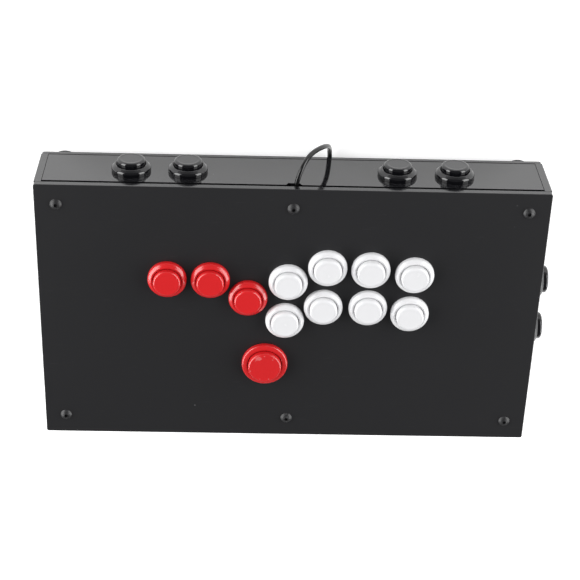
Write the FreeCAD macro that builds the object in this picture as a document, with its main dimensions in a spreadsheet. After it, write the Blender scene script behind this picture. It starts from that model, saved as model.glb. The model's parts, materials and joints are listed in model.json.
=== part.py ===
"""Lever-less arcade controller: a flat box with twelve top buttons, four rear buttons, two side buttons and a USB cord.

Row frame: millimetres, +X to the player's right, +Y to the rear (cord side), +Z up out of the button panel.
The feet stand on z = 0 and the origin is the middle of the base of the box that holds case and buttons.
"""
import FreeCAD, Part
import math
import os
import Sketcher

Vector = FreeCAD.Vector
doc = FreeCAD.newDocument("arcade_controller")


# ---------------------------------------------------------------- driving dimensions

SIZES = {
    # case of flat plates
    "case_width": 357.0,
    "case_depth": 205.0,
    "case_height": 53.4,
    "top_thickness": 5.0,
    "bottom_thickness": 4.0,
    "wall_thickness": 5.0,
    "lid_gap": 2.8,
    "wall_inset": 0.3,
    "wall_gap": 0.25,
    "corner_radius": 1.5,
    "edge_round": 0.4,
    "foot_height": 10.0,
    "foot_radius": 11.8,
    # standoffs and screws, M4
    "screw_inset": 15.0,
    "standoff_flats": 7.0,
    "thread_radius": 2.0,
    "clear_radius": 2.25,
    "head_radius": 4.2,
    "head_height": 2.2,
    "socket_flats": 2.5,
    "screw_length": 12.0,
    # push buttons, small (24 mm hole) and large (30 mm hole)
    "small_hole_radius": 12.0,
    "small_flange_radius": 13.85,
    "small_shoulder_height": 2.9,
    "small_lip_height": 4.9,
    "small_plunger_radius": 9.9,
    "small_plunger_height": 8.8,
    "large_hole_radius": 15.0,
    "large_flange_radius": 16.65,
    "large_shoulder_height": 3.2,
    "large_lip_height": 4.0,
    "large_plunger_radius": 12.2,
    "large_plunger_height": 8.2,
    "barrel_gap": 0.3,
    "plunger_gap": 0.3,
    "cap_round": 1.9,
    "travel": 2.5,
    "barrel_depth": 20.0,
    "floor_thickness": 2.0,
    "skirt_depth": 8.0,
    "cap_thickness": 2.0,
    "post_radius": 1.3,
    "switch_length": 12.8,
    "switch_width": 5.8,
    "switch_height": 6.5,
    "blade_length": 6.0,
    # encoder board
    "board_length": 50.0,
    "board_width": 34.0,
    "board_thickness": 1.6,
    "spacer_height": 4.0,
    "board_x": 33.0,
    "board_y": 75.0,
    # cord, its coil and its plug
    "cord_diameter": 3.5,
    "notch_width": 11.0,
    "notch_depth": 2.6,
    "coil_x": 55.5,
    "coil_y": 28.0,
    "coil_inner_radius": 10.2,
    "coil_outer_radius": 31.4,
    "plug_width": 16.0,
    "plug_thickness": 8.0,
    "plug_length": 24.0,
    "shell_width": 12.0,
    "shell_thickness": 4.5,
    "shell_length": 18.5,
}


def size(number):
    """A plain number as a Size, so that both kinds mix in a formula."""
    if isinstance(number, Size):
        return number
    return Size(float(number), "%.4f" % number)


class Size:
    """A dimension that knows its value and the spreadsheet formula it comes from."""

    def __init__(self, value, formula):
        self.value = value
        self.formula = formula

    def __add__(self, other):
        other = size(other)
        return Size(self.value + other.value, "(%s + %s)" % (self.formula, other.formula))

    def __sub__(self, other):
        other = size(other)
        return Size(self.value - other.value, "(%s - %s)" % (self.formula, other.formula))

    def __mul__(self, other):
        other = size(other)
        return Size(self.value * other.value, "(%s * %s)" % (self.formula, other.formula))

    def __truediv__(self, other):
        other = size(other)
        return Size(self.value / other.value, "(%s / %s)" % (self.formula, other.formula))

    def __radd__(self, other):
        return size(other) + self

    def __rsub__(self, other):
        return size(other) - self

    def __rmul__(self, other):
        return size(other) * self

    def __neg__(self):
        return size(0) - self


def make_sheet():
    """Fill the spreadsheet and return one Size for each alias."""
    sheet = doc.addObject("Spreadsheet::Sheet", "Sizes")
    for row, (alias, value) in enumerate(SIZES.items(), start=1):
        sheet.set("A%d" % row, alias)
        sheet.set("B%d" % row, str(value))
        sheet.setAlias("B%d" % row, alias)
    doc.recompute()
    return {alias: Size(value, "Sizes." + alias) for alias, value in SIZES.items()}


S = make_sheet()

# Heights of the faces that the rest is measured from.
BOTTOM = S["foot_height"]
FLOOR = BOTTOM + S["bottom_thickness"]
TOP = BOTTOM + S["case_height"]
CEILING = TOP - S["top_thickness"]
WALL_TOP = CEILING - S["lid_gap"]
MIDDLE = BOTTOM + S["case_height"] / 2

# The plungers stand proud on two sides only, so the case sits half of that off centre.
CASE_X = -S["small_plunger_height"] / 2
CASE_Y = (S["wall_inset"] - S["small_plunger_height"]) / 2
HALF_X = S["case_width"] / 2
HALF_Y = S["case_depth"] / 2

# Button centres on the top panel, from the middle of the panel.
TOP_BUTTONS = {
    "left": (-87.6, 30.6),
    "down": (-57.1, 30.5),
    "right": (-30.3, 16.4),
    "up": (-17.2, -38.8),
    "upper_1": (-2.0, 30.0),
    "upper_2": (25.5, 41.9),
    "upper_3": (56.0, 40.8),
    "upper_4": (87.2, 37.4),
    "lower_1": (-3.6, -1.7),
    "lower_2": (23.6, 9.9),
    "lower_3": (55.5, 10.0),
    "lower_4": (85.7, 5.6),
}
REAR_BUTTONS = {"rear_1": -113.2, "rear_2": -73.7, "rear_3": 72.8, "rear_4": 113.1}
SIDE_BUTTONS = {"side_1": 20.5, "side_2": -19.0}


# ---------------------------------------------------------------- sketch and feature helpers

UP = FreeCAD.Rotation(Vector(0, 0, 1), 0)
DOWN = FreeCAD.Rotation(Vector(1, 0, 0), 180)
TO_REAR = FreeCAD.Rotation(Vector(1, 0, 0), -90)
TO_RIGHT = FreeCAD.Rotation(Vector(0, 1, 0), 90)
nodes = []


def node(obj, label):
    """Name an object as one node of the part."""
    obj.Label = label
    nodes.append(obj)
    return obj


def put(obj, x, y, z, rotation=UP):
    """Place an object, with its position bound to the sheet."""
    spot = [size(value) for value in (x, y, z)]
    obj.Placement = FreeCAD.Placement(Vector(*[value.value for value in spot]), rotation)
    for axis, value in zip("xyz", spot):
        obj.setExpression("Placement.Base." + axis, value.formula)
    return obj


def bind(obj, **values):
    """Bind properties of an object to the sheet."""
    for name, value in values.items():
        value = size(value)
        setattr(obj, name, value.value)
        obj.setExpression(name, value.formula)
    return obj


def new_body(label):
    return node(doc.addObject("PartDesign::Body", label), label)


def sketch_on(body, name, plane):
    """A sketch on one of the body's own origin planes."""
    sketch = body.newObject("Sketcher::SketchObject", name)
    support = next(item for item in body.Origin.OriginFeatures if item.Role == plane)
    sketch.AttachmentSupport = (support, [""])
    sketch.MapMode = "FlatFace"
    return sketch


def pin(sketch, geometry, position, point):
    """Fix a sketch point by its distances from the origin."""
    for kind, axis, value in zip(("DistanceX", "DistanceY"), (-2, -1), point):
        value = size(value)
        if abs(value.value) < 1e-9:
            sketch.addConstraint(Sketcher.Constraint("PointOnObject", geometry, position, axis))
            continue
        index = sketch.addConstraint(Sketcher.Constraint(kind, -1, 1, geometry, position, value.value))
        sketch.setExpression("Constraints[%d]" % index, value.formula)


def outline(sketch, points):
    """A closed outline of straight lines through points."""
    first = sketch.GeometryCount
    corners = [Vector(size(x).value, size(y).value, 0) for x, y in points]
    for start, end in zip(corners, corners[1:] + corners[:1]):
        sketch.addGeometry(Part.LineSegment(start, end), False)
    for index, point in enumerate(points):
        after = first + (index + 1) % len(points)
        sketch.addConstraint(Sketcher.Constraint("Coincident", first + index, 2, after, 1))
    for index, point in enumerate(points):
        pin(sketch, first + index, 1, point)


def rectangle(sketch, x0, x1, y0, y1):
    outline(sketch, [(x0, y0), (x1, y0), (x1, y1), (x0, y1)])


def circle(sketch, x, y, radius):
    """A circle whose centre and radius are bound to the sheet."""
    radius = size(radius)
    centre = Vector(size(x).value, size(y).value, 0)
    index = sketch.addGeometry(Part.Circle(centre, Vector(0, 0, 1), radius.value), False)
    pin(sketch, index, 3, (x, y))
    rule = sketch.addConstraint(Sketcher.Constraint("Radius", index, radius.value))
    sketch.setExpression("Constraints[%d]" % rule, radius.formula)


def hexagon(sketch, x, y, flats):
    """A hexagon with two sides square to X, given across its flats."""
    reach = size(flats) / 2
    side = reach / math.cos(math.radians(30))
    corners = []
    for step in range(6):
        angle = math.radians(30 + 60 * step)
        corners.append((x + side * math.cos(angle), y + side * math.sin(angle)))
    outline(sketch, corners)


def pad(body, sketch, length, midplane=False, reverse=False):
    feature = body.newObject("PartDesign::Pad", sketch.Name + "_pad")
    feature.Profile = sketch
    bind(feature, Length=length)
    feature.Midplane = midplane
    feature.Reversed = reverse
    sketch.Visibility = False
    return feature


def pocket(body, sketch, length, midplane=False, reverse=False):
    feature = body.newObject("PartDesign::Pocket", sketch.Name + "_pocket")
    feature.Profile = sketch
    bind(feature, Length=length)
    feature.Midplane = midplane
    feature.Reversed = reverse
    sketch.Visibility = False
    return feature


def revolve(body, sketch):
    feature = body.newObject("PartDesign::Revolution", sketch.Name + "_turned")
    feature.Profile = sketch
    feature.ReferenceAxis = (sketch, ["V_Axis"])
    feature.Angle = 360
    sketch.Visibility = False
    return feature


def rings(shape, radius, height):
    """Names of the full circles of one radius at one height."""
    found = []
    for index, edge in enumerate(shape.Edges, start=1):
        curve = edge.Curve
        if isinstance(curve, Part.Circle) and abs(curve.Radius - radius) < 0.01:
            if abs(curve.Center.z - height) < 0.01:
                found.append("Edge%d" % index)
    return found


def upright(shape, x, y):
    """Names of the vertical edges at the corners of a box of half sides x and y."""
    found = []
    for index, edge in enumerate(shape.Edges, start=1):
        ends = [vertex.Point for vertex in edge.Vertexes]
        if len(ends) == 2 and abs(ends[0].x - ends[1].x) + abs(ends[0].y - ends[1].y) < 1e-6:
            if abs(abs(ends[0].x) - x) + abs(abs(ends[0].y) - y) < 0.01:
                found.append("Edge%d" % index)
    return found


def rim(shape, x, y, height):
    """Names of the edges round a plate's outside at one height."""
    found = []
    for index, edge in enumerate(shape.Edges, start=1):
        box = edge.BoundBox
        if abs(box.ZMin - height) + abs(box.ZMax - height) > 0.01:
            continue
        if max(abs(box.XMin), abs(box.XMax)) > x - 2.0 or max(abs(box.YMin), abs(box.YMax)) > y - 2.0:
            found.append("Edge%d" % index)
    return found


def round_off(body, base, edges, radius):
    """Fillet named edges of the body's latest feature."""
    feature = body.newObject("PartDesign::Fillet", base.Name + "_round")
    feature.Base = (base, edges)
    bind(feature, Radius=radius)
    return feature


def group(label, pieces):
    """One node made of separate solids."""
    gathered = doc.addObject("Part::Compound", label)
    gathered.Links = pieces
    return node(gathered, label)


def block(name, length, width, height, x, y, z, rotation=UP):
    """A box given by its size and the corner that it starts from."""
    box = doc.addObject("Part::Box", name)
    bind(box, Length=length, Width=width, Height=height)
    return put(box, x, y, z, rotation)


def rod(name, radius, height, x, y, z, rotation=UP):
    """A cylinder given by its size and the middle of its base."""
    cylinder = doc.addObject("Part::Cylinder", name)
    bind(cylinder, Radius=radius, Height=height)
    return put(cylinder, x, y, z, rotation)


def cut(name, base, tool):
    result = doc.addObject("Part::Cut", name)
    result.Base = base
    result.Tool = tool
    return result


def fuse(name, pieces):
    result = doc.addObject("Part::MultiFuse", name)
    result.Shapes = pieces
    return result


# ---------------------------------------------------------------- case plates

def screw_places():
    """The six standoffs: four corners and the middles of the long sides."""
    reach_x = HALF_X - S["screw_inset"]
    reach_y = HALF_Y - S["screw_inset"]
    return [(reach_x * side, reach_y * end) for end in (-1, 1) for side in (-1, 0, 1)]


def foot_places():
    """The feet stand under the corner standoffs and share their screws."""
    return [place for index, place in enumerate(screw_places()) if index % 3 != 1]


def make_plate(label, thickness, height, holes):
    """A full-size plate with rounded corners, softened rims and round holes."""
    body = new_body(label)
    shape = sketch_on(body, label + "_outline", "XY_Plane")
    rectangle(shape, -HALF_X, HALF_X, -HALF_Y, HALF_Y)
    plate = pad(body, shape, thickness)
    doc.recompute()
    plate = round_off(body, plate, upright(plate.Shape, HALF_X.value, HALF_Y.value), S["corner_radius"])
    doc.recompute()
    rims = rim(plate.Shape, HALF_X.value, HALF_Y.value, 0) + rim(plate.Shape, HALF_X.value, HALF_Y.value, thickness.value)
    round_off(body, plate, rims, S["edge_round"])
    drilled = sketch_on(body, label + "_holes", "XY_Plane")
    for x, y, radius in holes:
        circle(drilled, x, y, radius)
    pocket(body, drilled, thickness * 4, midplane=True)
    put(body, CASE_X, CASE_Y, height)
    return body


def make_top_panel():
    holes = [(x, y, S["clear_radius"]) for x, y in screw_places()]
    for name, (x, y) in TOP_BUTTONS.items():
        holes.append((x, y, button_size(name)["hole"]))
    make_plate("top_panel", S["top_thickness"], CEILING, holes)


def make_bottom_panel():
    holes = [(x, y, S["clear_radius"]) for x, y in screw_places()]
    make_plate("bottom_panel", S["bottom_thickness"], BOTTOM, holes)


def make_side_panel(label, side, holes):
    """An end wall, as deep as the case, standing on the bottom panel up to the top panel."""
    body = new_body(label)
    profile = sketch_on(body, label + "_outline", "YZ_Plane")
    rectangle(profile, -HALF_Y, HALF_Y, FLOOR, CEILING)
    for y in holes:
        circle(profile, y, MIDDLE, S["small_hole_radius"])
    pad(body, profile, S["wall_thickness"])
    start = CASE_X + HALF_X - S["wall_thickness"] if side > 0 else CASE_X - HALF_X
    put(body, start, CASE_Y, 0)


def make_long_panel(label, side, holes, notch):
    """A front or rear wall, set in a little between the end walls and lower than they are."""
    body = new_body(label)
    profile = sketch_on(body, label + "_outline", "XZ_Plane")
    reach = HALF_X - S["wall_thickness"] - S["wall_gap"]
    half = S["notch_width"] / 2
    dip = WALL_TOP - S["notch_depth"]
    points = [(-reach, FLOOR), (reach, FLOOR), (reach, WALL_TOP)]
    if notch:
        points += [(half, WALL_TOP), (half - 1.5, dip), (1.5 - half, dip), (-half, WALL_TOP)]
    outline(profile, points + [(-reach, WALL_TOP)])
    for x in holes:
        circle(profile, x, MIDDLE, S["small_hole_radius"])
    pad(body, profile, S["wall_thickness"], reverse=True)
    inside = HALF_Y - S["wall_inset"] - S["wall_thickness"]
    start = CASE_Y + inside if side > 0 else CASE_Y - inside - S["wall_thickness"]
    put(body, CASE_X, start, 0)


def make_walls():
    make_side_panel("left_side_panel", -1, [])
    make_side_panel("right_side_panel", 1, list(SIDE_BUTTONS.values()))
    make_long_panel("front_panel", -1, [], notch=False)
    make_long_panel("rear_panel", 1, list(REAR_BUTTONS.values()), notch=True)


def make_standoffs():
    """Six hexagonal pillars with a threaded hole in each end, between the two panels."""
    pieces = []
    for index, (x, y) in enumerate(screw_places()):
        prism = doc.addObject("Part::Prism", "standoff_%d_bar" % index)
        prism.Polygon = 6
        height = CEILING - FLOOR
        bind(prism, Circumradius=S["standoff_flats"] / 2 / math.cos(math.radians(30)), Height=height)
        put(prism, 0, 0, 0)
        bore = rod("standoff_%d_bore" % index, S["thread_radius"], height, 0, 0, 0)
        pillar = cut("standoff_%d" % index, prism, bore)
        pieces.append(put(pillar, CASE_X + x, CASE_Y + y, FLOOR, FreeCAD.Rotation(Vector(0, 0, 1), 30)))
    group("panel_standoffs", pieces)


def make_screw(name, length, x, y, z, rotation):
    """A button-head socket screw with its bearing face at the given point and its shank behind it."""
    head = doc.addObject("Part::Sphere", name + "_dome")
    dome = (S["head_radius"] * S["head_radius"] / S["head_height"] + S["head_height"]) / 2
    bind(head, Radius=dome)
    drop = S["head_height"] - dome
    put(head, 0, 0, drop)
    stock = rod(name + "_stock", S["head_radius"], S["head_height"], 0, 0, 0)
    cap = doc.addObject("Part::Common", name + "_cap")
    cap.Base = stock
    cap.Tool = head
    socket = doc.addObject("Part::Prism", name + "_socket")
    socket.Polygon = 6
    bind(socket, Circumradius=S["socket_flats"] / 2 / math.cos(math.radians(30)), Height=S["head_height"])
    put(socket, 0, 0, S["head_height"] - 1.3)
    shank = rod(name + "_shank", S["thread_radius"] - 0.02, length, 0, 0, -length)
    screw = cut(name, fuse(name + "_blank", [cap, shank]), socket)
    return put(screw, x, y, z, rotation)


def make_screws():
    """Six screws down into the standoffs, and two up into the middle ones: the feet take the others."""
    top = []
    bottom = []
    for index, (x, y) in enumerate(screw_places()):
        spot = (CASE_X + x, CASE_Y + y)
        top.append(make_screw("top_screw_%d" % index, S["screw_length"], *spot, TOP, UP))
        if index % 3 == 1:
            bottom.append(make_screw("bottom_screw_%d" % index, S["screw_length"], *spot, BOTTOM, DOWN))
    group("top_panel_screws", top)
    group("bottom_panel_screws", bottom)


def make_feet():
    """Rubber feet with a counterbore, each held by a long screw through the panel into a standoff."""
    feet = []
    screws = []
    for index, (x, y) in enumerate(foot_places()):
        name = "foot_%d" % index
        cone = doc.addObject("Part::Cone", name + "_cone")
        bind(cone, Radius1=S["foot_radius"] - 0.6, Radius2=S["foot_radius"], Height=S["foot_height"])
        put(cone, 0, 0, 0)
        sink = rod(name + "_sink", S["head_radius"] + 0.4, S["foot_height"] - 4, 0, 0, 0)
        bore = rod(name + "_bore", S["clear_radius"], S["foot_height"], 0, 0, 0)
        foot = cut(name, cone, fuse(name + "_hole", [sink, bore]))
        feet.append(put(foot, CASE_X + x, CASE_Y + y, 0))
        seat = S["foot_height"] - 4
        length = S["screw_length"] + 4.0
        screws.append(make_screw("foot_screw_%d" % index, length, CASE_X + x, CASE_Y + y, seat, DOWN))
    group("rubber_feet", feet)
    group("foot_screws", screws)


# ---------------------------------------------------------------- push buttons

def button_size(name):
    """Radii and heights of one button: the big one is the jump button, the rest are small."""
    kind = "large" if name == "up" else "small"
    hole = S[kind + "_hole_radius"]
    plunger = S[kind + "_plunger_radius"]
    return {
        "hole": hole,
        "flange": S[kind + "_flange_radius"],
        "shoulder": S[kind + "_shoulder_height"],
        "lip": S[kind + "_lip_height"],
        "top": S[kind + "_plunger_height"],
        "barrel": hole - S["barrel_gap"],
        "bore": plunger + S["plunger_gap"],
        "plunger": plunger,
    }


def button_places():
    """Name, position and direction of every button, in the row frame."""
    places = []
    for name, (x, y) in TOP_BUTTONS.items():
        places.append((name, (CASE_X + x, CASE_Y + y, TOP), UP))
    for name, x in REAR_BUTTONS.items():
        places.append((name, (CASE_X + x, CASE_Y + HALF_Y - S["wall_inset"], MIDDLE), TO_REAR))
    for name, y in SIDE_BUTTONS.items():
        places.append((name, (CASE_X + HALF_X, CASE_Y + y, MIDDLE), TO_RIGHT))
    return places


def make_housing(name, spot, rotation):
    """Flange and barrel of a snap-in button, with its slots, catches and switch holder."""
    radii = button_size(name)
    depth = S["barrel_depth"]
    body = new_body("housing_" + name)
    profile = sketch_on(body, name + "_profile", "XZ_Plane")
    hollow = S["floor_thickness"] - depth
    outline(profile, [
        (3.2, -depth), (radii["barrel"], -depth), (radii["barrel"], 0), (radii["flange"], 0),
        (radii["flange"], radii["shoulder"]), (radii["bore"] + 1.2, radii["lip"]),
        (radii["bore"], radii["lip"]), (radii["bore"], hollow), (3.2, hollow),
    ])
    turned = revolve(body, profile)
    doc.recompute()
    shoulder = rings(turned.Shape, radii["flange"].value, radii["shoulder"].value)
    soft = round_off(body, turned, shoulder, 1.8)
    doc.recompute()
    mouth = rings(soft.Shape, radii["bore"].value, radii["lip"].value)
    round_off(body, soft, mouth, 0.6)

    slots = sketch_on(body, name + "_slots", "YZ_Plane")
    rectangle(slots, -1.6, 1.6, -13.0, -5.7)
    pocket(body, slots, radii["hole"] * 2, midplane=True)

    catches = sketch_on(body, name + "_catches", "YZ_Plane")
    for side in (-1, 1):
        outline(catches, [(side * (radii["barrel"] - 0.5), -5.1), (side * (radii["hole"] + 0.9), -5.1),
                          (side * (radii["barrel"] - 0.5), -9.5)])
    pad(body, catches, 6.0, midplane=True)

    holder = sketch_on(body, name + "_holder", "XZ_Plane")
    inner = S["switch_length"] / 2
    for side in (-1, 1):
        outline(holder, [(side * inner, -depth), (side * (inner + 1.4), -depth),
                         (side * (inner + 1.4), -depth - 5.0), (side * inner, -depth - 5.0)])
    pad(body, holder, S["switch_width"], midplane=True)
    put(body, *spot, rotation)


def make_plunger(name, spot, rotation):
    """The cap that a finger presses: a hollow cup with a post for the switch and two guide lugs."""
    radii = button_size(name)
    edge = radii["plunger"]
    top = radii["top"]
    skirt = S["skirt_depth"]
    under = top - S["cap_thickness"]
    tip = S["barrel_depth"] + 0.3
    body = new_body("plunger_" + name)
    profile = sketch_on(body, name + "_cap", "XZ_Plane")
    outline(profile, [
        (0, top), (edge, top), (edge, -skirt), (edge - 1.5, -skirt), (edge - 1.5, under), (2.6, under),
        (2.6, -skirt + 2.0), (S["post_radius"], -skirt + 1.0), (S["post_radius"], -tip), (0, -tip),
    ])
    turned = revolve(body, profile)
    doc.recompute()
    round_off(body, turned, rings(turned.Shape, edge.value, top.value), S["cap_round"])

    lugs = sketch_on(body, name + "_lugs", "XZ_Plane")
    for side in (-1, 1):
        outline(lugs, [(side * (edge - 0.7), -skirt), (side * (edge + 1.0), -skirt),
                       (side * (edge + 1.0), -6.1), (side * (edge - 0.7), -6.1)])
    pad(body, lugs, 2.4, midplane=True)
    put(body, *spot, rotation)


def make_switches():
    """A microswitch under each barrel, with a hole for the plunger's post and two blades."""
    switches = []
    blades = []
    for name, spot, rotation in button_places():
        low = -S["barrel_depth"] - S["switch_height"]
        case = block("switch_%s_case" % name, S["switch_length"], S["switch_width"], S["switch_height"],
                     -S["switch_length"] / 2, -S["switch_width"] / 2, low)
        bore = rod("switch_%s_bore" % name, S["post_radius"] + 0.3, 3.5, 0, 0, -S["barrel_depth"] - 3.5)
        switch = cut("switch_" + name, case, bore)
        switches.append(put(switch, *spot, rotation))
        pair = doc.addObject("Part::Compound", "blades_" + name)
        pair.Links = [block("blade_%s_%d" % (name, side), 0.5, 2.8, S["blade_length"],
                            side * 3.8 - 0.25, -1.4, low - S["blade_length"]) for side in (-1, 1)]
        blades.append(put(pair, *spot, rotation))
    group("microswitches", switches)
    group("switch_terminals", blades)


def make_buttons():
    for name, spot, rotation in button_places():
        make_housing(name, spot, rotation)
        make_plunger(name, spot, rotation)
    make_switches()


# ---------------------------------------------------------------- encoder board and wiring

BOARD_X = CASE_X + S["board_x"]
BOARD_Y = CASE_Y + S["board_y"]
BOARD_TOP = FLOOR + S["spacer_height"] + S["board_thickness"]
LOOM_Y = CASE_Y + 22.0
LOOM_Z = BOARD_TOP + 3.0


def make_board():
    """The encoder board on four spacers, with its row connectors and the plug of the USB lead."""
    corner = (BOARD_X - S["board_length"] / 2, BOARD_Y - S["board_width"] / 2)
    base = FLOOR + S["spacer_height"]
    stock = block("board_stock", S["board_length"], S["board_width"], S["board_thickness"], *corner, base)
    holes = []
    spacers = []
    screws = []
    for index in range(4):
        x = BOARD_X + (S["board_length"] / 2 - 3.0) * (1 if index % 2 else -1)
        y = BOARD_Y + (S["board_width"] / 2 - 3.0) * (1 if index > 1 else -1)
        name = "board_%d" % index
        holes.append(rod(name + "_hole", 1.6, S["board_thickness"] * 3, x, y, base - S["board_thickness"]))
        sleeve = rod(name + "_sleeve", 3.0, S["spacer_height"], x, y, FLOOR)
        bore = rod(name + "_bore", 1.5, S["spacer_height"], x, y, FLOOR)
        spacers.append(cut(name + "_spacer", sleeve, bore))
        head = rod(name + "_head", 2.7, 1.8, x, y, BOARD_TOP)
        shank = rod(name + "_shank", 1.48, 5.0, x, y, BOARD_TOP - 5.0)
        screws.append(fuse(name + "_screw", [head, shank]))
    node(cut("encoder_board", stock, fuse("board_holes", holes)), "encoder_board")
    group("board_spacers", spacers)
    group("board_screws", screws)

    sockets = []
    for row in (-1, 1):
        for column in (-1, 0):
            sockets.append(block("socket_%d_%d" % (row, column), 18.0, 5.8, 6.0, BOARD_X + 0.5 + column * 19.0,
                                 BOARD_Y + row * 11.0 - 2.9, BOARD_TOP))
    sockets.append(block("usb_socket", 5.8, 10.0, 7.0, BOARD_X - 24.0, BOARD_Y - 5.0, BOARD_TOP))
    group("board_connectors", sockets)


# ---------------------------------------------------------------- routes of cord and wires

def route_path(points, share=0.45, largest=None):
    """Straight runs joined by tangent arcs, through corner points; returns the wire and the arc radii."""
    corners = [Vector(*point) for point in points]
    edges = []
    radii = []
    start = corners[0]
    for before, corner, after in zip(corners, corners[1:], corners[2:]):
        inward = (corner - before).normalize()
        outward = (after - corner).normalize()
        half_turn = inward.getAngle(outward) / 2
        reach = share * min((corner - before).Length, (after - corner).Length)
        radius = reach / math.tan(half_turn)
        if largest and radius > largest:
            radius = largest
            reach = radius * math.tan(half_turn)
        radii.append(radius)
        enter = corner - inward * reach
        leave = corner + outward * reach
        towards = (outward - inward).normalize()
        middle = corner + towards * (radius / math.cos(half_turn) - radius)
        edges.append(Part.LineSegment(start, enter).toShape())
        edges.append(Part.Arc(enter, middle, leave).toShape())
        start = leave
    edges.append(Part.LineSegment(start, corners[-1]).toShape())
    return Part.Wire(edges), radii


def tube(name, points, radius, largest=None):
    """A round tube along a route, swept run by run because the route turns in space."""
    path, radii = route_path(points, largest=largest)
    start = Vector(*points[0])
    heading = Vector(*points[1]) - start
    section = Part.Wire(Part.Circle(start, heading, radius).toShape())
    swept = doc.addObject("Part::Feature", name)
    swept.Shape = path.makePipeShell([section], True, False)
    ideal = math.pi * radius ** 2 * path.Length
    return swept, path.Length, radii, swept.Shape.Volume / ideal


def make_loom():
    """Leads from every switch, drawn as one pair each, laced to a trunk that runs to the board."""
    blade_end = -(S["barrel_depth"] + S["switch_height"] + S["blade_length"]).value
    trunk_y = LOOM_Y.value
    trunk_z = LOOM_Z.value
    reach = 132.0
    pieces = []
    trunk = rod("loom_trunk", 3.0, 2 * reach, -reach, trunk_y, trunk_z, TO_RIGHT)
    pieces.append(trunk)
    branch = rod("loom_branch", 2.9, BOARD_Y - 13.9 - LOOM_Y, BOARD_X, LOOM_Y, trunk_z, TO_REAR)
    pieces.append(branch)
    for name, spot, rotation in button_places():
        away = rotation.multVec(Vector(0, 0, -1))
        foot = Vector(*[value.value for value in spot]) - away * blade_end
        route = [tuple(foot)]
        if away.z > -0.5:
            turn = foot + away * 9.0
            route += [tuple(turn), (turn.x, turn.y, trunk_z)]
        else:
            route += [(foot.x, foot.y, trunk_z)]
        if abs(route[-1][1] - trunk_y) > 4.0 and abs(foot.x) < reach:
            route += [(foot.x, trunk_y, trunk_z)]
        elif abs(foot.x) > reach:
            route += [(reach - 4.0, route[-1][1], trunk_z), (reach - 8.0, trunk_y, trunk_z)]
        pieces.append(tube("lead_" + name, route, 1.1, largest=3.0)[0])
    node(fuse("wiring_harness", pieces), "wiring_harness")


# ---------------------------------------------------------------- cord, coil and plug

# The cord's route as corner points from its inner end, in the row frame. It leaves through the notch,
# bows out behind the case, drops and runs back under the case to the coil.
CORD_ROUTE = [
    (5.6, 79.8, 34.4),
    (5.9, 80.8, 43.0),
    (4.9, 84.0, 50.8),
    (-0.4, 90.2, 56.2),
    (-3.2, 97.0, 56.1),
    (-1.3, 104.8, 55.7),
    (1.8, 111.9, 51.4),
    (7.2, 116.2, 42.9),
    (14.7, 115.7, 31.5),
    (20.1, 111.0, 18.1),
    (22.0, 103.1, 5.9),
    (22.7, 88.1, 1.9),
    (21.1, 70.8, 1.9),
    (22.1, 54.9, 1.9),
    (21.5, 40.9, 1.9),
    (22.3, 30.9, 1.9),
]

# From the coil's outer turn to the plug.
TAIL_ROUTE = [
    (58.7, -5.3, 5.2),
    (68.7, -5.1, 4.6),
    (78.7, -2.5, 3.9),
    (88.7, 1.0, 4.1),
    (98.7, 2.4, 4.2),
]


def report_tube(name, length, radii, ratio):
    print("%s: %.0f mm long, volume ratio %.3f, radii %s" % (name, length, ratio, ["%.1f" % r for r in radii]))


def make_cord():
    """The free cord as a plain tube, the put-away length as one ring, and the tail to the plug."""
    radius = (S["cord_diameter"] / 2).value
    cord, length, radii, ratio = tube("usb_cord", CORD_ROUTE, radius)
    node(cord, "usb_cord")
    report_tube("usb_cord", length, radii, ratio)
    tail, length, radii, ratio = tube("usb_cord_tail", TAIL_ROUTE, radius)
    node(tail, "usb_cord_tail")
    report_tube("usb_cord_tail", length, radii, ratio)

    spot = (CASE_X + S["coil_x"], CASE_Y + S["coil_y"], 0)
    height = S["cord_diameter"] * 2 + 0.2
    outside = rod("coil_outside", S["coil_outer_radius"], height, *spot)
    inside = rod("coil_inside", S["coil_inner_radius"], height, *spot)
    node(cut("usb_cord_coil", outside, inside), "usb_cord_coil")


def make_cable_tie():
    """A tie pulled tight round the cord just inside the rear wall, so that it can't be pulled out."""
    start, end = (Vector(*point) for point in CORD_ROUTE[1:3])
    heading = (end - start).normalize()
    turn = FreeCAD.Rotation(Vector(0, 0, 1), heading)
    middle = (start + end) / 2 - heading * 1.25
    radius = S["cord_diameter"] / 2
    band = rod("tie_band", radius + 1.0, 2.5, 0, 0, 0)
    head = block("tie_head", 4.5, 3.5, 2.5, radius + 0.3, -1.75, 0)
    hole = rod("tie_hole", radius, 2.5, 0, 0, 0)
    tie = cut("cable_tie", fuse("tie_blank", [band, head]), hole)
    node(put(tie, *middle, turn), "cable_tie")


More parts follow.
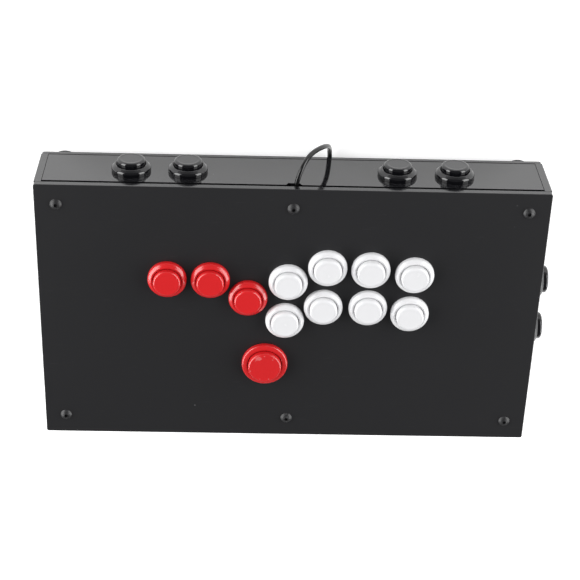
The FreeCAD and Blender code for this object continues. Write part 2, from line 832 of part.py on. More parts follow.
def make_plug():
    """The plug: a moulded grip with the contact tongue, and a folded steel shell round the tongue."""
    end = Vector(*TAIL_ROUTE[-1])
    thickness = S["plug_thickness"]
    centre = size(end.z)
    grip = new_body("usb_plug_body")
    face = sketch_on(grip, "grip_face", "YZ_Plane")
    wide = S["plug_width"] / 2
    rectangle(face, -wide, wide, -thickness / 2, thickness / 2)
    moulded = pad(grip, face, S["plug_length"])
    doc.recompute()
    long_edges = ["Edge%d" % index for index, edge in enumerate(moulded.Shape.Edges, start=1)
                  if edge.BoundBox.XLength > S["plug_length"].value - 0.1]
    round_off(grip, moulded, long_edges, 2.0)
    tongue = sketch_on(grip, "tongue_face", "YZ_Plane")
    inner = S["shell_width"] / 2 - 0.4
    rectangle(tongue, -inner, inner, -1.85, 0.0)
    pad(grip, tongue, S["plug_length"] + S["shell_length"] - 1.0)
    put(grip, end.x, end.y, centre)

    shell = new_body("usb_plug_shell")
    walls = sketch_on(shell, "shell_face", "YZ_Plane")
    wide = S["shell_width"] / 2
    tall = S["shell_thickness"] / 2
    rectangle(walls, -wide, wide, -tall, tall)
    rectangle(walls, 0.3 - wide, wide - 0.3, 0.3 - tall, tall - 0.3)
    pad(shell, walls, S["shell_length"])
    windows = sketch_on(shell, "shell_windows", "XY_Plane")
    for side in (-1, 1):
        rectangle(windows, 5.2, 7.7, side * 2.9 - 1.25, side * 2.9 + 1.25)
    pocket(shell, windows, S["shell_thickness"], reverse=True)
    put(shell, end.x + S["plug_length"], end.y, centre)


# ---------------------------------------------------------------- build and export

def check(obj):
    """Stop if a node didn't come out as a sound solid."""
    shape = obj.Shape
    if shape.isNull() or not shape.isValid() or not shape.Solids:
        raise RuntimeError("%s has no sound solid" % obj.Label)


def export():
    os.makedirs("parts", exist_ok=True)
    for obj in nodes:
        check(obj)
        obj.Shape.exportStep("parts/%s.step" % obj.Label)


make_top_panel()
make_bottom_panel()
make_walls()
make_standoffs()
make_screws()
make_feet()
make_buttons()
make_board()
make_loom()
make_cord()
make_cable_tie()
make_plug()
doc.recompute()

broken = [obj.Name for obj in doc.Objects if "Invalid" in obj.State or "Error" in obj.State]
if broken:
    raise RuntimeError("these objects failed: %s" % ", ".join(broken))
export()
print("%d nodes written" % len(nodes))
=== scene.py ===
"""Looks of a lever-less arcade controller: a flat black box with push buttons and a thin USB cord."""
import json
import math

import bpy
import bmesh
from mathutils import Matrix, Vector


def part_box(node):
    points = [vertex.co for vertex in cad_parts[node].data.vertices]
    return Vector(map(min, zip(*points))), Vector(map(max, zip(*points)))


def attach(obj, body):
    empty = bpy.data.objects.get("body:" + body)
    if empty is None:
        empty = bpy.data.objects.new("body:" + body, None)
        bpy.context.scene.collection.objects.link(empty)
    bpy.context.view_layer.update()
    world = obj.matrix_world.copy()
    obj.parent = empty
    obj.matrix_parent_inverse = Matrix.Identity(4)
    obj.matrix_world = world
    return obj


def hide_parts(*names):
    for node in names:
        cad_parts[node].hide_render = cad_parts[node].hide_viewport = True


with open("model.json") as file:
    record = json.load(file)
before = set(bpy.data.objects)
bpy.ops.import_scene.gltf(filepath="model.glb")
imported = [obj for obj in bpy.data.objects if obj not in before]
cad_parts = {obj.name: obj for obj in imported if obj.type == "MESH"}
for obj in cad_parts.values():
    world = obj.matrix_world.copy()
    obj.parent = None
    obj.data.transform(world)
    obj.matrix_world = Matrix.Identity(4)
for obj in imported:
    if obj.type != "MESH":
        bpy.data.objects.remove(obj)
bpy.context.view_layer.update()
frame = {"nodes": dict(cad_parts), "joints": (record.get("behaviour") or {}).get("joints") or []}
nodes = frame["nodes"]


MM_PER_M = 1000


# ---------------------------------------------------------------------------------------------
# Materials: Signal lets shader values be written as sums, and Finish builds one material. Every
# finish varies by procedural noise in the part's own metres, so it is the same on each run.
# ---------------------------------------------------------------------------------------------

class Signal:
    """A shader value that can be written in sums: every operator adds its Math node."""

    def __init__(self, tree, socket):
        self.tree = tree
        self.socket = socket

    def _sum(self, operation, *terms):
        node = self.tree.nodes.new("ShaderNodeMath")
        node.operation = operation
        for slot, term in zip(node.inputs, terms):
            connect(self.tree, slot, term)
        return Signal(self.tree, node.outputs[0])

    def __add__(self, other):
        return self._sum("ADD", self, other)

    def __radd__(self, other):
        return self._sum("ADD", other, self)

    def __sub__(self, other):
        return self._sum("SUBTRACT", self, other)

    def __rsub__(self, other):
        return self._sum("SUBTRACT", other, self)

    def __mul__(self, other):
        return self._sum("MULTIPLY", self, other)

    def __abs__(self):
        return self._sum("ABSOLUTE", self)

    def above(self, level, softness):
        """0 below the level and 1 above it, with a ramp of the given width."""
        ramp = self.tree.nodes.new("ShaderNodeMapRange")
        ramp.interpolation_type = "SMOOTHSTEP"
        connect(self.tree, ramp.inputs["Value"], self)
        ramp.inputs["From Min"].default_value = level - softness / 2
        ramp.inputs["From Max"].default_value = level + softness / 2
        return Signal(self.tree, ramp.outputs["Result"])


def connect(tree, slot, value):
    """Feed a socket from a signal or set it to a plain value."""
    if isinstance(value, Signal):
        tree.links.new(value.socket, slot)
    elif isinstance(value, (tuple, list)) and len(value) == 3 and len(slot.default_value) == 4:
        slot.default_value = (*value, 1.0)
    else:
        slot.default_value = value


class Finish:
    """One material: constants go on its shader, and what varies is fed to it."""

    def __init__(self, name, **constants):
        self.material = bpy.data.materials.new(name)
        self.material.use_nodes = True
        self.tree = self.material.node_tree
        self.shader = self.tree.nodes["Principled BSDF"]
        for socket, value in constants.items():
            connect(self.tree, self.shader.inputs[socket.replace("_", " ")], value)
        self.place = self.add("ShaderNodeTexCoord", out="Object")

    def add(self, kind, settings=None, out=0, **sockets):
        """Any other node: its type, its settings, then the values or links of its sockets."""
        node = self.tree.nodes.new(kind)
        for name, value in (settings or {}).items():
            setattr(node, name, value)
        for name, value in sockets.items():
            connect(self.tree, node.inputs[name.replace("_", " ")], value)
        return Signal(self.tree, node.outputs[out])

    def scaled(self, x, y, z):
        """Object coordinates scaled along each axis."""
        return self.add("ShaderNodeMapping", Vector=self.place, Scale=Vector((x, y, z)))

    def noise(self, scale, detail=2.0, roughness=0.5, vector=None):
        return self.add("ShaderNodeTexNoise", Vector=vector or self.place, Scale=scale, Detail=detail,
                        Roughness=roughness)

    def cells(self, scale):
        """Distance to the nearest of many scattered points, in cells."""
        return self.add("ShaderNodeTexVoronoi", Vector=self.place, Scale=scale)

    def blend(self, amount, first, second):
        """A colour between two colours."""
        node = self.tree.nodes.new("ShaderNodeMix")
        node.data_type = "RGBA"
        connect(self.tree, node.inputs["Factor"], amount)
        connect(self.tree, node.inputs[6], first)
        connect(self.tree, node.inputs[7], second)
        return Signal(self.tree, node.outputs[2])

    def feed(self, **sockets):
        for name, value in sockets.items():
            connect(self.tree, self.shader.inputs[name.replace("_", " ")], value)
        return self

    def relief(self, height, depth, strength=1.0):
        """Bump of a given depth in metres."""
        bump = self.add("ShaderNodeBump", Height=height, Distance=depth, Strength=strength)
        return self.feed(Normal=bump)


def dress(material, *names):
    """Give CAD nodes their material."""
    for name in names:
        data = nodes[name].data
        data.materials.clear()
        data.materials.append(material)


# ---------------------------------------------------------------------------------------------
# Top panel: one 5 mm sheet of black acrylic, laser-cut and left satin on its face, while the cut
# edges come out polished. It lies on the end walls and standoffs, held by six button-head screws.
# ---------------------------------------------------------------------------------------------

def satin_sheet(name, face_roughness, edge_roughness, tone):
    """Black acrylic sheet: a satin face with faint grain, dust and hairlines, and polished edges."""
    sheet = Finish(name, Metallic=0.0, IOR=1.5, Specular_IOR_Level=0.5)
    normal = sheet.add("ShaderNodeNewGeometry", out="Normal")
    upright = sheet.add("ShaderNodeSeparateXYZ", out="Z", Vector=normal)
    face = abs(upright).above(0.7, 0.3)
    cloud = sheet.noise(9.0, detail=4.0)
    grain = sheet.noise(2600.0, detail=1.0)
    speck = 1.0 - sheet.cells(65.0).above(0.028, 0.03)
    patch = sheet.noise(23.0).above(0.56, 0.1)
    dust = speck * patch
    hairline = sheet.noise(60.0, detail=2.0, vector=sheet.scaled(1.0, 22.0, 1.0)).above(0.74, 0.05)
    rough = edge_roughness + face * (face_roughness - edge_roughness)
    rough = rough + (cloud - 0.5) * 0.07 + dust * 0.2 + hairline * face * 0.05
    shade = sheet.blend(dust * 0.35 + hairline * face * 0.035, tone, (0.30, 0.30, 0.31))
    sheet.feed(Base_Color=shade, Roughness=rough)
    sheet.relief(grain * face * 0.6 + cloud, 0.00002, 0.35)
    return sheet.material


dress(satin_sheet("panel_black_satin", 0.40, 0.10, (0.0095, 0.0095, 0.0105)), "top_panel")


# ---------------------------------------------------------------------------------------------
# Walls and bottom panel: the same black acrylic with its protective film off, polished all over,
# so that it mirrors what stands behind the case. The walls are glued between the end walls.
# ---------------------------------------------------------------------------------------------

def gloss_sheet(name, tone):
    """Polished black acrylic with finger smudges that only its shine shows."""
    sheet = Finish(name, Metallic=0.0, IOR=1.52, Specular_IOR_Level=0.6)
    cloud = sheet.noise(14.0, detail=3.0)
    smudge = sheet.noise(34.0, detail=5.0, roughness=0.65).above(0.58, 0.2)
    dust = (1.0 - sheet.cells(80.0).above(0.03, 0.03)) * cloud.above(0.5, 0.2)
    ripple = sheet.noise(5.0, detail=1.0)
    sheet.feed(Base_Color=sheet.blend(dust * 0.4, tone, (0.32, 0.32, 0.33)))
    sheet.feed(Roughness=0.05 + smudge * 0.06 + cloud * 0.03 + dust * 0.2)
    sheet.relief(ripple, 0.00004, 0.2)
    return sheet.material


dress(gloss_sheet("case_black_gloss", (0.007, 0.007, 0.008)),
      "rear_panel", "front_panel", "left_side_panel", "right_side_panel", "bottom_panel")


# ---------------------------------------------------------------------------------------------
# Screws: M4 button-head socket screws of blackened steel, six from above into the standoffs, two
# from below, and four longer ones through the feet.
# ---------------------------------------------------------------------------------------------

def blackened_steel():
    """Black oxide: dark, a little oily, rubbed brighter in places by the key."""
    steel = Finish("black_oxide_steel", Metallic=0.0, IOR=1.6, Specular_IOR_Level=0.3)
    grime = steel.noise(900.0, detail=3.0)
    rubbed = steel.noise(350.0, detail=2.0).above(0.62, 0.1)
    steel.feed(Base_Color=steel.blend(rubbed * 0.4, (0.010, 0.010, 0.011), (0.06, 0.06, 0.063)))
    steel.feed(Roughness=0.40 + grime * 0.12)
    steel.relief(grime, 0.00002, 0.4)
    return steel.material


dress(blackened_steel(), "top_panel_screws", "bottom_panel_screws", "foot_screws")


# ---------------------------------------------------------------------------------------------
# Feet: four turned rubber feet with a sink for the screw's head, under the corner standoffs.
# ---------------------------------------------------------------------------------------------

def foot_rubber():
    """Matt black rubber with a pale bloom and fine pores."""
    rubber = Finish("foot_rubber", Metallic=0.0, IOR=1.5, Specular_IOR_Level=0.35)
    bloom = rubber.noise(120.0, detail=4.0)
    pores = rubber.noise(2400.0, detail=2.0)
    bloomed = bloom.above(0.5, 0.4) * 0.5
    rubber.feed(Base_Color=rubber.blend(bloomed, (0.012, 0.012, 0.012), (0.035, 0.035, 0.036)))
    rubber.feed(Roughness=0.62 + bloom * 0.2)
    rubber.relief(pores, 0.00005, 0.5)
    return rubber.material


dress(foot_rubber(), "rubber_feet")


# ---------------------------------------------------------------------------------------------
# Push buttons: snap-in housings moulded in ABS, a domed flange outside the panel and a barrel with
# two catches inside, with a capped plunger that slides in the barrel. Seventeen are for 24 mm
# holes and the big red one is for a 30 mm hole. Red steers, white acts, black is for the menus.
# ---------------------------------------------------------------------------------------------

FILM_LEFT = 0.0048
FILM_BACK = 0.0084


def film_patch(plastic, under):
    """A torn scrap of film on the rear left of a button's top, about 5 mm long."""
    low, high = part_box(under)
    centre_x = (low[0] + high[0]) / 2 - FILM_LEFT
    centre_y = (low[1] + high[1]) / 2 + FILM_BACK
    across = plastic.add("ShaderNodeSeparateXYZ", out="X", Vector=plastic.place) - centre_x
    along = plastic.add("ShaderNodeSeparateXYZ", out="Y", Vector=plastic.place) - centre_y
    spread = (across * across * 0.5 + along * along * 0.9) * MM_PER_M ** 2
    ragged = plastic.noise(700.0, detail=3.0) - 0.5
    return 1.0 - (spread + ragged * 9.0).above(2.8, 1.5)


def moulded(name, tone, deep, shine, film=0.0):
    """Injection-moulded ABS: even colour, soft gloss, faint flow marks, specks and bits of film."""
    plastic = Finish(name, Metallic=0.0, IOR=1.53, Specular_IOR_Level=0.5)
    flow = plastic.noise(110.0, detail=3.0)
    speck = (1.0 - plastic.cells(240.0).above(0.045, 0.04)) * flow.above(0.55, 0.1)
    skin = plastic.noise(1500.0, detail=2.0)
    shade = plastic.blend(flow.above(0.5, 0.6) * 0.25 + speck * 0.3, tone, deep)
    if film:
        smear = film_patch(plastic, "housing_up") + (1.0 - plastic.cells(230.0).above(0.10, 0.06))
        normal = plastic.add("ShaderNodeNewGeometry", out="Normal")
        upright = plastic.add("ShaderNodeSeparateXYZ", out="Z", Vector=normal)
        shade = plastic.blend(smear * upright.above(0.9, 0.1) * film, shade, (0.66, 0.24, 0.24))
    plastic.feed(Base_Color=shade)
    plastic.feed(Roughness=shine + flow * 0.05 + speck * 0.2)
    plastic.relief(skin * 0.5 + flow, 0.000015, 0.3)
    return plastic.material


CORNER_STEPS = 7
SPIN_STEPS = 72
HOLD = 1.12


def arc_corner(before, corner, after, radius):
    """Points of a rounded corner, with one more a little way along each flat to hold it flat."""
    if radius == 0:
        return [Vector(corner)]
    corner = Vector(corner)
    inward = (corner - Vector(before)).normalized()
    outward = (Vector(after) - corner).normalized()
    half_turn = inward.angle(outward) / 2
    reach = radius * math.tan(half_turn)
    centre = corner + (outward - inward).normalized() * radius / math.cos(half_turn)
    start = corner - inward * reach - centre
    turn = half_turn * 2 * (1 if inward.cross(outward) > 0 else -1)
    points = [corner - inward * reach * HOLD]
    for step in range(CORNER_STEPS + 1):
        points.append(centre + Matrix.Rotation(turn * step / CORNER_STEPS, 2) @ start)
    points.append(corner + outward * reach * HOLD)
    return points


def profile(corners, closed):
    """A turned outline from (radius, height, rounding) corners, in millimetres."""
    count = len(corners)
    points = []
    for index, (radius, height, rounding) in enumerate(corners):
        before = corners[index - 1][:2]
        after = corners[(index + 1) % count][:2]
        if not closed and index in (0, count - 1):
            rounding = 0
        points += arc_corner(before, (radius, height), after, rounding)
    return points


def turned(mesh, outline, closed):
    """Spin an outline round the local Z axis into a bmesh; points on the axis are shared."""
    columns = []
    for segment in range(SPIN_STEPS):
        angle = 2 * math.pi * segment / SPIN_STEPS
        column = []
        for point in outline:
            if point.x < 1e-6 and columns:
                column.append(columns[0][outline.index(point)])
            else:
                spot = (point.x * math.cos(angle), point.x * math.sin(angle), point.y)
                column.append(mesh.verts.new([value / MM_PER_M for value in spot]))
        columns.append(column)
    rows = len(outline) if closed else len(outline) - 1
    for segment in range(SPIN_STEPS):
        here = columns[segment]
        there = columns[(segment + 1) % SPIN_STEPS]
        for row in range(rows):
            after = (row + 1) % len(outline)
            corners = []
            for vertex in (here[row], here[after], there[after], there[row]):
                if vertex not in corners:
                    corners.append(vertex)
            if len(corners) > 2:
                mesh.faces.new(corners)


def prism(mesh, corners, depth, axis):
    """A closed prism from a flat outline (mm), centred on the plane that its axis crosses."""
    order = {"X": (2, 0, 1), "Y": (0, 2, 1)}[axis]
    rings = []
    for side in (-0.5, 0.5):
        ring = []
        for across, height in corners:
            place = (across, height, side * depth)
            ring.append(mesh.verts.new([place[index] / MM_PER_M for index in order]))
        rings.append(ring)
    mesh.faces.new(rings[0])
    mesh.faces.new(list(reversed(rings[1])))
    for index in range(len(corners)):
        after = (index + 1) % len(corners)
        mesh.faces.new([rings[0][index], rings[1][index], rings[1][after], rings[0][after]])


CREASE = math.radians(32)


def make_piece(name, mesh, material, place):
    """Turn a bmesh into an object of the scene with smooth faces and crisp edges."""
    bmesh.ops.recalc_face_normals(mesh, faces=mesh.faces)
    data = bpy.data.meshes.new(name)
    mesh.to_mesh(data)
    mesh.free()
    data.transform(place)
    data.shade_smooth()
    data.set_sharp_from_angle(angle=CREASE)
    data.materials.append(material)
    piece = bpy.data.objects.new(name, data)
    bpy.context.scene.collection.objects.link(piece)
    return piece


# Radii and heights in millimetres above the panel for a 24 mm and a 30 mm button. "soft" is the
# rounding of the flange's shoulder. Below, in millimetres too: the barrel's depth, its floor and
# the hole in it, the switch holder, and where the plunger's skirt and post end.
SMALL = {"flange": 13.85, "barrel": 11.7, "bore": 10.3, "plunger": 9.85,
         "shoulder": 2.9, "soft": 2.3, "lip": 4.9, "top": 8.8}
LARGE = {"flange": 16.65, "barrel": 14.7, "bore": 12.7, "plunger": 12.15,
         "shoulder": 3.2, "soft": 1.7, "lip": 4.0, "top": 8.2}
DEPTH = 20.0
BARREL_FLOOR = 2.0
POST_HOLE = 3.2
MOUTH_CHAMFER = 1.2
HOLDER = 6.4
HOLDER_WALL = 1.4
HOLDER_DROP = 5.0
SKIRT_END = -8.0
POST_END = -20.3


def housing_mesh(form):
    """Flange with a rounded shoulder and sloping top, barrel and floor, catches, switch holder."""
    mesh = bmesh.new()
    bore = form["bore"]
    reach = form["barrel"]
    lip = form["lip"]
    outline = profile([
        (POST_HOLE, -DEPTH, 0), (reach, -DEPTH, 0.5), (reach, 0.0, 0), (form["flange"], 0.0, 0.15),
        (form["flange"], form["shoulder"], form["soft"]), (bore + MOUTH_CHAMFER, lip, 0.9), (bore, lip, 0.3),
        (bore, BARREL_FLOOR - DEPTH, 0), (POST_HOLE, BARREL_FLOOR - DEPTH, 0),
    ], closed=True)
    turned(mesh, outline, closed=True)
    for side in (-1, 1):
        catch = [(reach - 0.4, -5.2), (reach + 1.15, -5.2), (reach + 0.9, -6.0), (reach - 0.4, -9.4)]
        prism(mesh, [(side * across, height) for across, height in catch], 6.0, "X")
        outer = HOLDER + HOLDER_WALL
        foot = -DEPTH - HOLDER_DROP
        leg = [(HOLDER, -DEPTH), (outer, -DEPTH), (outer, foot), (HOLDER, foot)]
        prism(mesh, [(side * across, height) for across, height in leg], 5.8, "Y")
    return mesh


def plunger_mesh(form):
    """Cup with a slightly sunk top and a rounded rim, the post for the switch, two guide lugs."""
    mesh = bmesh.new()
    edge = form["plunger"]
    top = form["top"]
    outline = profile([
        (0.0, top - 0.12, 0), (edge - 3.2, top - 0.12, 1.2), (edge - 2.2, top, 0.5), (edge, top, 1.85),
        (edge, SKIRT_END, 0.3), (edge - 1.5, SKIRT_END, 0.3), (edge - 1.5, top - 2.1, 0.5),
        (2.6, top - 2.1, 0.5), (2.6, -6.0, 0.3), (1.3, -7.0, 0), (1.3, POST_END, 0.3), (0.0, POST_END, 0),
    ], closed=False)
    turned(mesh, outline, closed=False)
    for side in (-1, 1):
        lug = [(edge - 0.7, SKIRT_END), (edge + 0.95, SKIRT_END), (edge + 0.95, -6.6), (edge + 0.6, -6.1),
               (edge - 0.7, -6.1)]
        prism(mesh, [(side * across, height) for across, height in lug], 2.4, "Y")
    return mesh


PLASTICS = {
    "red": moulded("red_abs", (0.53, 0.012, 0.014), (0.48, 0.010, 0.011), 0.18),
    "worn_red": moulded("worn_red_abs", (0.51, 0.012, 0.014), (0.46, 0.010, 0.011), 0.22, film=0.38),
    "white": moulded("white_abs", (0.66, 0.66, 0.67), (0.62, 0.62, 0.63), 0.24),
    "black": moulded("black_abs", (0.003, 0.003, 0.004), (0.006, 0.006, 0.007), 0.07),
}


def button_colour(name):
    """Red steers, black is on the rear and right faces, and the rest are white."""
    if name in ("left", "down", "right", "up"):
        return "red"
    return "black" if name.startswith(("rear", "side")) else "white"


def seat(name, lip):
    """Where a button meets its panel: the inner face of its flange, turned to the way it points."""
    low, high = (Vector(corner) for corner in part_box("housing_" + name))
    middle = (low + high) / 2
    face = high - Vector((lip, lip, lip)) / MM_PER_M
    quarter = math.pi / 2
    if name.startswith("rear"):
        return Matrix.Translation((middle.x, face.y, middle.z)) @ Matrix.Rotation(-quarter, 4, "X")
    if name.startswith("side"):
        return Matrix.Translation((face.x, middle.y, middle.z)) @ Matrix.Rotation(quarter, 4, "Y")
    return Matrix.Translation((middle.x, middle.y, face.z))


for joint in frame["joints"]:
    label = joint["name"].replace("press_", "")
    form = LARGE if label == "up" else SMALL
    material = PLASTICS["worn_red" if label == "up" else button_colour(label)]
    flange = make_piece("flange_" + label, housing_mesh(form), material, seat(label, form["lip"]))
    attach(flange, "case")
    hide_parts("housing_" + label)
    cap = make_piece("cap_" + label, plunger_mesh(form), material, seat(label, form["lip"]))
    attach(cap, joint["child"])
    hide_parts("plunger_" + label)


# ---------------------------------------------------------------------------------------------
# Inside the case: standoffs, microswitches with their blades, the encoder board on its spacers and
# the wiring loom. Nothing of it shows unless a panel is off.
# ---------------------------------------------------------------------------------------------

def plated(name, tone, shine):
    """Plated or turned metal with fine drawn lines."""
    metal = Finish(name, Metallic=1.0)
    lines = metal.noise(700.0, detail=2.0, vector=metal.scaled(1.0, 1.0, 12.0))
    stain = metal.noise(160.0, detail=3.0)
    metal.feed(Base_Color=metal.blend(stain * 0.4, tone, tuple(value * 0.7 for value in tone)))
    metal.feed(Roughness=shine + lines * 0.14)
    metal.relief(lines, 0.00001, 0.3)
    return metal.material


def plain_moulding(name, tone, shine, scale=900.0):
    """Matt moulded plastic with a fine eroded texture."""
    plastic = Finish(name, Metallic=0.0, IOR=1.5)
    grain = plastic.noise(scale, detail=2.0)
    cloud = plastic.noise(90.0, detail=2.0)
    plastic.feed(Base_Color=plastic.blend(cloud * 0.5, tone, tuple(value * 0.75 for value in tone)))
    plastic.feed(Roughness=shine + grain * 0.15)
    plastic.relief(grain, 0.00003, 0.4)
    return plastic.material


def circuit_board():
    """Green solder mask over a net of tracks, seen as slightly raised, lighter lines."""
    board = Finish("board_green_mask", Metallic=0.0, IOR=1.5)
    weave = board.noise(1200.0, detail=1.0)
    track = board.add("ShaderNodeTexBrick", {"offset": 0.5}, out="Fac", Vector=board.place, Scale=420.0,
                      Mortar_Size=0.05)
    board.feed(Base_Color=board.blend(track * 0.6, (0.010, 0.085, 0.030), (0.03, 0.17, 0.06)))
    board.feed(Roughness=0.28 + weave * 0.1)
    board.relief(track, 0.00003, 0.5)
    return board.material


dress(plated("nickel_plated_steel", (0.62, 0.61, 0.59), 0.22), "panel_standoffs", "board_screws")
dress(plated("turned_brass", (0.72, 0.50, 0.22), 0.2), "switch_terminals", "board_spacers")
dress(plain_moulding("switch_case", (0.022, 0.022, 0.024), 0.4), "microswitches")
dress(plain_moulding("connector_nylon", (0.78, 0.76, 0.70), 0.38), "board_connectors")
dress(plain_moulding("wire_pvc", (0.02, 0.02, 0.022), 0.42), "wiring_harness")
dress(plain_moulding("tie_nylon", (0.015, 0.015, 0.016), 0.35), "cable_tie")
dress(circuit_board(), "encoder_board")


# ---------------------------------------------------------------------------------------------
# USB cord: 1.8 m of 3.5 mm round PVC lead. It leaves through the notch in the rear wall, bows out
# behind the case, drops and runs back under it, where the spare length lies in a two-layer coil.
# ---------------------------------------------------------------------------------------------

THICK = 0.0035
OFF_FLOOR = 0.0001
COIL_TURNS = 6
COIL_STEPS = 16
ROUTE = [
    (5.6, 79.8, 34.4), (5.9, 80.8, 43.0), (4.9, 84.0, 50.8), (-0.4, 90.2, 56.2), (-3.2, 97.0, 56.1),
    (-1.3, 104.8, 55.7), (1.8, 111.9, 51.4), (7.2, 116.2, 42.9), (14.7, 115.7, 31.5), (20.1, 111.0, 18.1),
    (22.0, 103.1, 5.9), (22.7, 88.1, 1.9), (21.1, 70.8, 1.9), (22.1, 54.9, 1.9), (21.5, 40.9, 1.9),
]
TAIL = [(58.7, -5.3, 5.2), (68.7, -5.1, 4.6), (78.7, -2.5, 3.9), (88.7, 1.0, 4.1), (98.9, 2.4, 4.2)]


def coil_turns(low, high):
    """The put-away length: turns wind inwards on the floor, then outwards on top of themselves."""
    middle = (Vector(low) + Vector(high)) / 2
    outer = (high[0] - low[0]) / 2 - THICK / 2 - OFF_FLOOR
    inner = outer - THICK * (COIL_TURNS - 0.97)
    points = []
    for layer in (0, 1):
        count = COIL_TURNS * COIL_STEPS
        for step in range(count + 1):
            share = step / count
            across = outer + (inner - outer) * share if layer == 0 else inner + (outer - inner) * share
            angle = math.pi + 2 * math.pi * share * COIL_TURNS + (math.pi / 2 * share if layer else 0)
            height = THICK / 2 + OFF_FLOOR + THICK * layer
            if layer and step < 3:
                height -= THICK * (3 - step) / 4
            points.append((middle.x + across * math.cos(angle), middle.y + across * math.sin(angle), height))
    return points


def cord_curve(name, points, thickness, material):
    """A round cord as one NURBS curve through its control points."""
    curve = bpy.data.curves.new(name, "CURVE")
    curve.dimensions = "3D"
    curve.bevel_depth = thickness / 2
    curve.bevel_resolution = 5
    curve.resolution_u = 6
    curve.use_fill_caps = True
    line = curve.splines.new("NURBS")
    line.points.add(len(points) - 1)
    for spot, point in zip(line.points, points):
        spot.co = (*point, 1.0)
    line.order_u = 3
    line.use_endpoint_u = True
    line.use_smooth = True
    curve.materials.append(material)
    piece = bpy.data.objects.new(name, curve)
    bpy.context.scene.collection.objects.link(piece)
    return piece


def cord_pvc():
    """Extruded black PVC: glossy, with a slow waviness from the conductors inside."""
    jacket = Finish("cord_pvc", Metallic=0.0, IOR=1.5, Specular_IOR_Level=0.35)
    wave = jacket.noise(180.0, detail=2.0)
    handling = jacket.noise(60.0, detail=4.0).above(0.55, 0.2)
    jacket.feed(Base_Color=jacket.blend(handling * 0.3, (0.004, 0.004, 0.004), (0.010, 0.010, 0.011)))
    jacket.feed(Roughness=0.10 + handling * 0.08)
    jacket.relief(wave, 0.00003, 0.3)
    return jacket.material


jacket = cord_pvc()
low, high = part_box("usb_cord_coil")
leaving, arriving = ([tuple(value / MM_PER_M for value in point) for point in run] for run in (ROUTE, TAIL))
route = leaving + coil_turns(low, high) + arriving
cord = cord_curve("usb_lead", route, THICK, jacket)
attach(cord, "case")
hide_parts("usb_cord", "usb_cord_coil", "usb_cord_tail")


# ---------------------------------------------------------------------------------------------
# USB plug: a grip moulded over the end of the cord and a folded, nickel-plated steel shell.
# ---------------------------------------------------------------------------------------------

dress(plain_moulding("plug_pvc", (0.014, 0.014, 0.015), 0.42, 1400.0), "usb_plug_body")
dress(plated("plug_nickel", (0.66, 0.65, 0.63), 0.18), "usb_plug_shell")


# ---------------------------------------------------------------------------------------------
# Studio: a white floor that runs far out and glows a little, a surround that is white at the
# horizon and grey overhead, and a long, tall soft light at each side.
# ---------------------------------------------------------------------------------------------

FLOOR_REACH = 6


def studio_floor():
    """White paper under and around the part."""
    far = FLOOR_REACH
    data = bpy.data.meshes.new("studio_floor")
    data.from_pydata([(-far, -far, 0), (far, -far, 0), (far, far, 0), (-far, far, 0)], [], [(0, 1, 2, 3)])
    paper = Finish("floor_paper", Metallic=0.0, Base_Color=(0.88, 0.88, 0.88), Roughness=0.9,
                   Specular_IOR_Level=0.1, Emission_Color=(1.0, 1.0, 1.0), Emission_Strength=0.42)
    data.materials.append(paper.material)
    floor = bpy.data.objects.new("studio_floor", data)
    bpy.context.scene.collection.objects.link(floor)


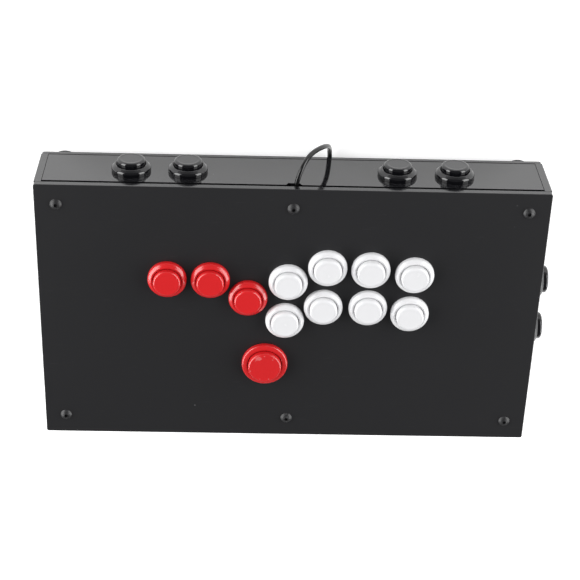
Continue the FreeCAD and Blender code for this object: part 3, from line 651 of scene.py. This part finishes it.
def surround():
    """Sky of the studio: white at the horizon, grey overhead."""
    world = bpy.data.worlds.new("studio")
    world.use_nodes = True
    tree = world.node_tree
    place = tree.nodes.new("ShaderNodeTexCoord")
    split = tree.nodes.new("ShaderNodeSeparateXYZ")
    ramp = tree.nodes.new("ShaderNodeValToRGB")
    tree.links.new(place.outputs["Generated"], split.inputs[0])
    tree.links.new(split.outputs["Z"], ramp.inputs["Fac"])
    ramp.color_ramp.elements[0].position = 0.05
    ramp.color_ramp.elements[0].color = (1.0, 1.0, 1.0, 1.0)
    ramp.color_ramp.elements[1].position = 0.4
    ramp.color_ramp.elements[1].color = (0.20, 0.20, 0.205, 1.0)
    tree.links.new(ramp.outputs["Color"], tree.nodes["Background"].inputs["Color"])
    tree.nodes["Background"].inputs["Strength"].default_value = 0.85
    bpy.context.scene.world = world


BOX_LENGTH = 2.8
BOX_HEIGHT = 0.95
BOX_AIM = Vector((0, 0.15, 0.05))


def softbox(name, place, power):
    """A rectangular soft light, turned to the back of the case."""
    light = bpy.data.lights.new(name, "AREA")
    light.shape = "RECTANGLE"
    light.size = BOX_LENGTH
    light.size_y = BOX_HEIGHT
    light.energy = power
    lamp = bpy.data.objects.new(name, light)
    lamp.location = place
    lamp.rotation_euler = (BOX_AIM - Vector(place)).to_track_quat("-Z", "Y").to_euler()
    bpy.context.scene.collection.objects.link(lamp)


studio_floor()
surround()
softbox("left_box", (-1.5, 0.25, 0.72), 62)
softbox("right_box", (1.5, 0.25, 0.72), 54)


# ---------------------------------------------------------------------------------------------
# Camera: a short telephoto from above and behind the case, held so that the rear edge is up.
# ---------------------------------------------------------------------------------------------

CAMERA_PLACE = Vector((-0.0344, 0.5698, 0.9420))
CAMERA_AIM = Vector((-0.0005, 0.0229, 0.0))
CAMERA_ROLL = 2.06
CAMERA_LENS = 95.16


def stand_camera(place, aim, roll, lens):
    """Stand a camera at a place, look at a point, and roll it by some degrees."""
    data = bpy.data.cameras.new("camera")
    data.lens = lens
    data.sensor_width = 36.0
    camera = bpy.data.objects.new("camera", data)
    forward = (Vector(aim) - Vector(place)).normalized()
    right = forward.cross(Vector((0, 1, 0))).normalized()
    right = Matrix.Rotation(-math.radians(roll), 3, forward) @ right
    up = right.cross(forward)
    turn = Matrix((right, up, -forward)).transposed()
    camera.matrix_world = Matrix.Translation(place) @ turn.to_4x4()
    bpy.context.scene.collection.objects.link(camera)
    bpy.context.scene.camera = camera


(left, front, base), (right, rear, top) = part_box("top_panel")
middle = Vector(((left + right) / 2, (front + rear) / 2, top))
stand_camera(middle + CAMERA_PLACE, middle + CAMERA_AIM, CAMERA_ROLL, CAMERA_LENS)

bpy.context.scene.view_settings.view_transform = "Standard"
